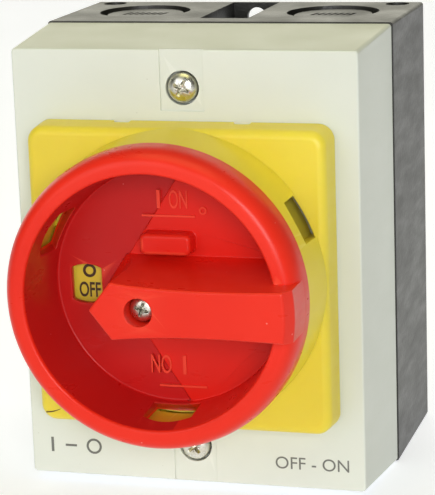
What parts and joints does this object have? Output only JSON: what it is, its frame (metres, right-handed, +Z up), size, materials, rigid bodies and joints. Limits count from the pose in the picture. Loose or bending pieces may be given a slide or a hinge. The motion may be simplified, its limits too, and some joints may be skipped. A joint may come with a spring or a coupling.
{
  "type": "rotary isolator switch",
  "caption": "Enclosed rotary isolator: two-part wall box with a red pad-lockable cup handle on a yellow plate, and a cam switch block with screw terminals inside.",
  "frame": {"origin": "centre of the back face, on the switch axis", "axes": "+X right, +Y into the wall, +Z up; the handle faces -Y"},
  "size_m": [0.078, 0.0969, 0.098],
  "materials": {
    "base_moulding": "fine spark texture, satin",
    "lid_moulding": "fine texture, satin",
    "yellow_moulding": "semi-gloss",
    "red_moulding": "semi-gloss",
    "black_moulding": "satin",
    "natural_moulding": "satin nylon",
    "seal_rubber": "matt",
    "zinc_steel": "bright zinc plate",
    "copper": "rolled copper strip",
    "brass": "machined brass"
  },
  "bodies": {
    "enclosure": {"base_box": "base_moulding", "earth_terminal": "brass", "earth_screw": "zinc_steel", "rear_deck": "black_moulding", "front_deck": "black_moulding", "detent_housing": "black_moulding", "front_cover": "black_moulding", "through_bolt_1": "zinc_steel", "through_bolt_2": "zinc_steel", "foot_screw_1": "zinc_steel", "foot_screw_2": "zinc_steel", "fixed_contact_1": "copper", "fixed_contact_2": "copper", "fixed_contact_3": "copper", "fixed_contact_4": "copper", "fixed_contact_5": "copper", "fixed_contact_6": "copper", "fixed_contact_7": "copper", "fixed_contact_8": "copper", "terminal_screw_1": "zinc_steel", "terminal_screw_2": "zinc_steel", "terminal_screw_3": "zinc_steel", "terminal_screw_4": "zinc_steel", "terminal_screw_5": "zinc_steel", "terminal_screw_6": "zinc_steel", "terminal_screw_7": "zinc_steel", "terminal_screw_8": "zinc_steel", "bridge_spring_1": "zinc_steel", "bridge_spring_2": "zinc_steel", "bridge_spring_3": "zinc_steel", "bridge_spring_4": "zinc_steel", "detent_spring_upper": "zinc_steel", "detent_spring_lower": "zinc_steel"},
    "cover": {"lid": "lid_moulding", "gasket": "seal_rubber", "lid_screw_upper": "zinc_steel", "lid_screw_lower": "zinc_steel", "screw_seal_upper": "seal_rubber", "screw_seal_lower": "seal_rubber", "escutcheon": "yellow_moulding", "escutcheon_screw_upper": "zinc_steel", "escutcheon_screw_lower": "zinc_steel"},
    "operator": {"handle": "red_moulding", "handle_screw": "zinc_steel", "coupler": "natural_moulding", "shaft_seal": "seal_rubber"},
    "rotor": {"shaft": "zinc_steel", "rear_cam": "natural_moulding", "front_cam": "natural_moulding", "detent_wheel": "natural_moulding"},
    "contact_bar_1": {"plunger_1": "natural_moulding", "bridge_1": "copper"},
    "contact_bar_2": {"plunger_2": "natural_moulding", "bridge_2": "copper"},
    "contact_bar_3": {"plunger_3": "natural_moulding", "bridge_3": "copper"},
    "contact_bar_4": {"plunger_4": "natural_moulding", "bridge_4": "copper"},
    "detent_upper": {"detent_plunger_upper": "natural_moulding"},
    "detent_lower": {"detent_plunger_lower": "natural_moulding"}
  },
  "joints": [
    {"name": "cover_lift", "type": "slide", "parent": "enclosure", "child": "cover", "axis": [0, -1, 0], "range_m": [0, 0.09]},
    {"name": "handle_turn", "type": "hinge", "parent": "cover", "child": "operator", "pos_m": [0, -0.08, 0], "axis": [0, 1, 0], "range_deg": [0, 90]},
    {"name": "shaft_turn", "type": "hinge", "parent": "enclosure", "child": "rotor", "pos_m": [0, -0.03, 0], "axis": [0, 1, 0], "range_deg": [0, 90]},
    {"name": "contact_bar_1_slide", "type": "slide", "parent": "enclosure", "child": "contact_bar_1", "axis": [1, 0, 0], "range_m": [0, 0.0025], "deforming": ["bridge_spring_1"]},
    {"name": "contact_bar_2_slide", "type": "slide", "parent": "enclosure", "child": "contact_bar_2", "axis": [-1, 0, 0], "range_m": [0, 0.0025], "deforming": ["bridge_spring_2"]},
    {"name": "contact_bar_3_slide", "type": "slide", "parent": "enclosure", "child": "contact_bar_3", "axis": [1, 0, 0], "range_m": [0, 0.0025], "deforming": ["bridge_spring_3"]},
    {"name": "contact_bar_4_slide", "type": "slide", "parent": "enclosure", "child": "contact_bar_4", "axis": [-1, 0, 0], "range_m": [0, 0.0025], "deforming": ["bridge_spring_4"]},
    {"name": "detent_upper_slide", "type": "slide", "parent": "enclosure", "child": "detent_upper", "axis": [0, 0, 1], "range_m": [0, 0.0012], "stiffness_N_per_m": 400, "deforming": ["detent_spring_upper"]},
    {"name": "detent_lower_slide", "type": "slide", "parent": "enclosure", "child": "detent_lower", "axis": [0, 0, -1], "range_m": [0, 0.0012], "stiffness_N_per_m": 400, "deforming": ["detent_spring_lower"]}
  ],
  "couplings": [
    {"joint": "shaft_turn", "follows": "handle_turn", "ratio": 1},
    {"joint": "contact_bar_1_slide", "follows": "handle_turn", "m_per_rad": 0.00159},
    {"joint": "contact_bar_2_slide", "follows": "handle_turn", "m_per_rad": 0.00159},
    {"joint": "contact_bar_3_slide", "follows": "handle_turn", "m_per_rad": 0.00159},
    {"joint": "contact_bar_4_slide", "follows": "handle_turn", "m_per_rad": 0.00159}
  ]
}
